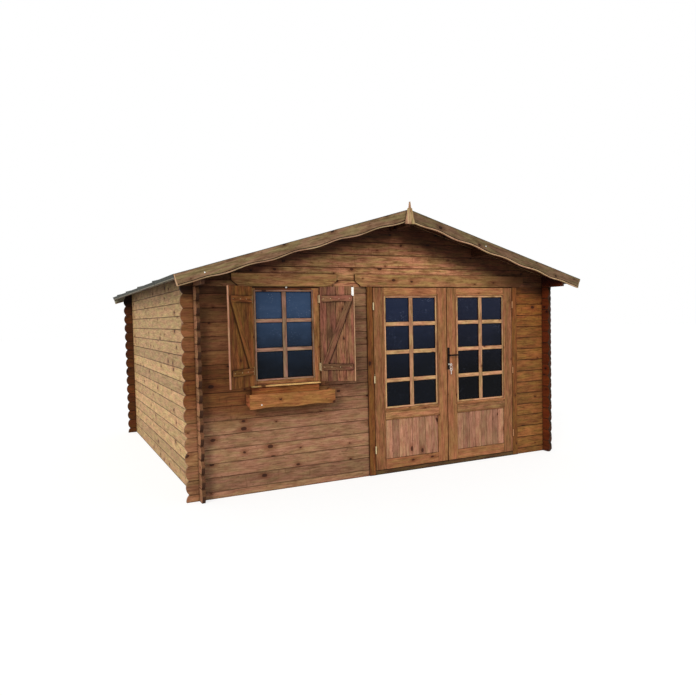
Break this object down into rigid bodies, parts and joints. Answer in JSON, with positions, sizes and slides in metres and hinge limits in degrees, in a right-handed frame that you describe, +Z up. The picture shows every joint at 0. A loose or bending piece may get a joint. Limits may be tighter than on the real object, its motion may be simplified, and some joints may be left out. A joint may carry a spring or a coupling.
{
  "type": "garden shed",
  "caption": "Garden shed built as a cabin of interlocking boards under a felted apex roof, with a glazed double door, a window with braced shutters and a planter.",
  "frame": {"origin": "centre of the bounding box at ground level", "axes": "+Z up, front wall with the doors facing -Y, +X to the right as seen from the front"},
  "size_m": [4.2, 4.329, 2.5151],
  "materials": {
    "log_wood": "sawn and planed softwood, pressure treated",
    "trim_wood": "planed softwood, pressure treated",
    "door_wood": "planed softwood, pressure treated",
    "planter_wood": "planed softwood, pale",
    "roofing_felt": "mineral surfaced roofing felt",
    "glass": "clear sheet glass",
    "zinc_metal": "bright zinc plated",
    "black_metal": "satin black"
  },
  "bodies": {
    "cabin": {"front_wall_left": "log_wood", "front_wall_right": "log_wood", "front_gable": "log_wood", "back_wall": "log_wood", "left_wall": "log_wood", "right_wall": "log_wood", "floor_boards": "trim_wood", "floor_joists": "log_wood", "door_jambs": "door_wood", "door_head": "door_wood", "threshold": "log_wood", "door_head_board": "trim_wood", "window_frame": "trim_wood", "window_glass": "glass", "window_sill": "trim_wood", "window_head_board": "trim_wood", "planter_front": "planter_wood", "planter_tray": "planter_wood", "ridge_purlin": "log_wood", "side_purlins": "log_wood", "left_roof_boards": "trim_wood", "right_roof_boards": "trim_wood", "roof_felt": "roofing_felt", "eave_battens": "trim_wood", "left_bargeboard": "trim_wood", "right_bargeboard": "trim_wood", "back_bargeboards": "trim_wood", "finial": "trim_wood", "hinge_brackets": "zinc_metal"},
    "left_door": {"left_door_frame": "door_wood", "left_door_panel": "door_wood", "left_door_glass": "glass", "left_door_hinges": "zinc_metal"},
    "right_door": {"right_door_frame": "door_wood", "right_door_panel": "door_wood", "right_door_glass": "glass", "right_door_hinges": "zinc_metal", "lock_plates": "black_metal"},
    "door_lever": {"lever_handles": "black_metal"},
    "left_shutter": {"left_shutter_boards": "trim_wood", "left_shutter_brace": "trim_wood", "left_shutter_hinges": "zinc_metal"},
    "right_shutter": {"right_shutter_boards": "trim_wood", "right_shutter_brace": "trim_wood", "right_shutter_hinges": "zinc_metal"}
  },
  "joints": [
    {"name": "left_door_hinge", "type": "hinge", "parent": "cabin", "child": "left_door", "pos_m": [-0.2275, -1.8565, 0.9], "axis": [0, 0, -1], "range_deg": [0, 120]},
    {"name": "right_door_hinge", "type": "hinge", "parent": "cabin", "child": "right_door", "pos_m": [1.4275, -1.8565, 0.9], "axis": [0, 0, 1], "range_deg": [0, 120]},
    {"name": "lever_pivot", "type": "hinge", "parent": "right_door", "child": "door_lever", "pos_m": [0.617, -1.8315, 1.097], "axis": [0, 1, 0], "range_deg": [0, 45], "stiffness_Nm_per_rad": 2},
    {"name": "left_shutter_hinge", "type": "hinge", "parent": "cabin", "child": "left_shutter", "pos_m": [-1.421, -1.8935, 1.35], "axis": [0, 0, -1], "range_deg": [-145, 30]},
    {"name": "right_shutter_hinge", "type": "hinge", "parent": "cabin", "child": "right_shutter", "pos_m": [-0.787, -1.8935, 1.35], "axis": [0, 0, 1], "range_deg": [-145, 30]}
  ]
}
